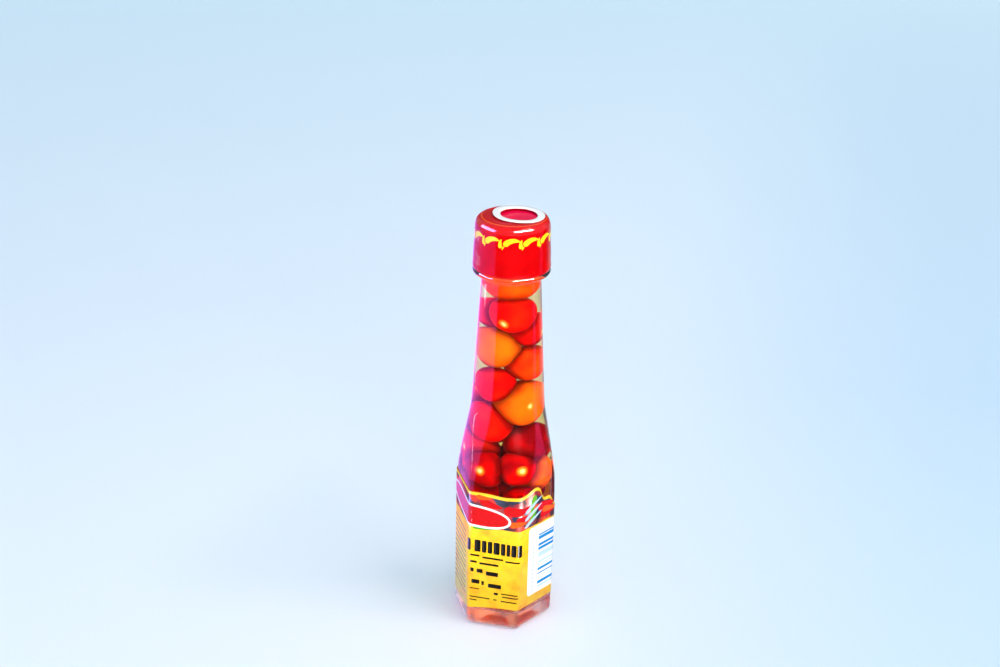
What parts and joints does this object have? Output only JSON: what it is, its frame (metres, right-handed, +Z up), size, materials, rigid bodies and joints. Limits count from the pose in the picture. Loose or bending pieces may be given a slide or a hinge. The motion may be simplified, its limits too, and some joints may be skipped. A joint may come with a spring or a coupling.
{
  "type": "bottle of preserved chili peppers",
  "caption": "Small hexagonal glass bottle of whole round chili peppers in brine, with a screw cap under a shrink seal and a wrapped label.",
  "frame": {"origin": "middle of the bottle's foot, on the plane that it stands on", "axes": "+Z up along the bottle's axis; -Y out of the front facet, on which the label is centred; +X to the right as seen from the front"},
  "size_m": [0.0396, 0.0352, 0.1642],
  "materials": {
    "clear_glass": "clear moulded flint glass, fire polished",
    "brine": "clear, slightly yellow liquid",
    "cap_plastic": "glossy injection-moulded red polypropylene",
    "sealing_foam": "matt white expanded polyethylene",
    "seal_film": "glossy printed shrink film, white at its open edge",
    "label_film": "glossy film printed in yellow with a dark band of pepper motifs",
    "chili_orange": "smooth waxy skin, orange",
    "chili_scarlet": "smooth waxy skin, orange-red",
    "chili_red": "smooth waxy skin, deep red"
  },
  "bodies": {
    "root": {"bottle": "clear_glass", "brine": "brine", "screw_cap": "cap_plastic", "sealing_disc": "sealing_foam", "shrink_seal": "seal_film", "label": "label_film", "chili_01": "chili_orange", "chili_02": "chili_red", "chili_03": "chili_red", "chili_04": "chili_red", "chili_05": "chili_orange", "chili_06": "chili_scarlet", "chili_07": "chili_red", "chili_08": "chili_orange", "chili_09": "chili_scarlet", "chili_10": "chili_red", "chili_11": "chili_red", "chili_12": "chili_red", "chili_13": "chili_red", "chili_14": "chili_red", "chili_15": "chili_red", "chili_16": "chili_orange", "chili_17": "chili_red", "chili_18": "chili_scarlet", "chili_19": "chili_orange", "chili_20": "chili_scarlet", "chili_21": "chili_red", "chili_22": "chili_red", "chili_23": "chili_scarlet", "chili_24": "chili_red", "chili_25": "chili_red", "chili_26": "chili_orange", "chili_27": "chili_scarlet", "chili_28": "chili_red", "chili_29": "chili_orange", "chili_30": "chili_scarlet", "chili_31": "chili_red", "chili_32": "chili_orange", "chili_33": "chili_scarlet"}
  },
  "joints": []
}
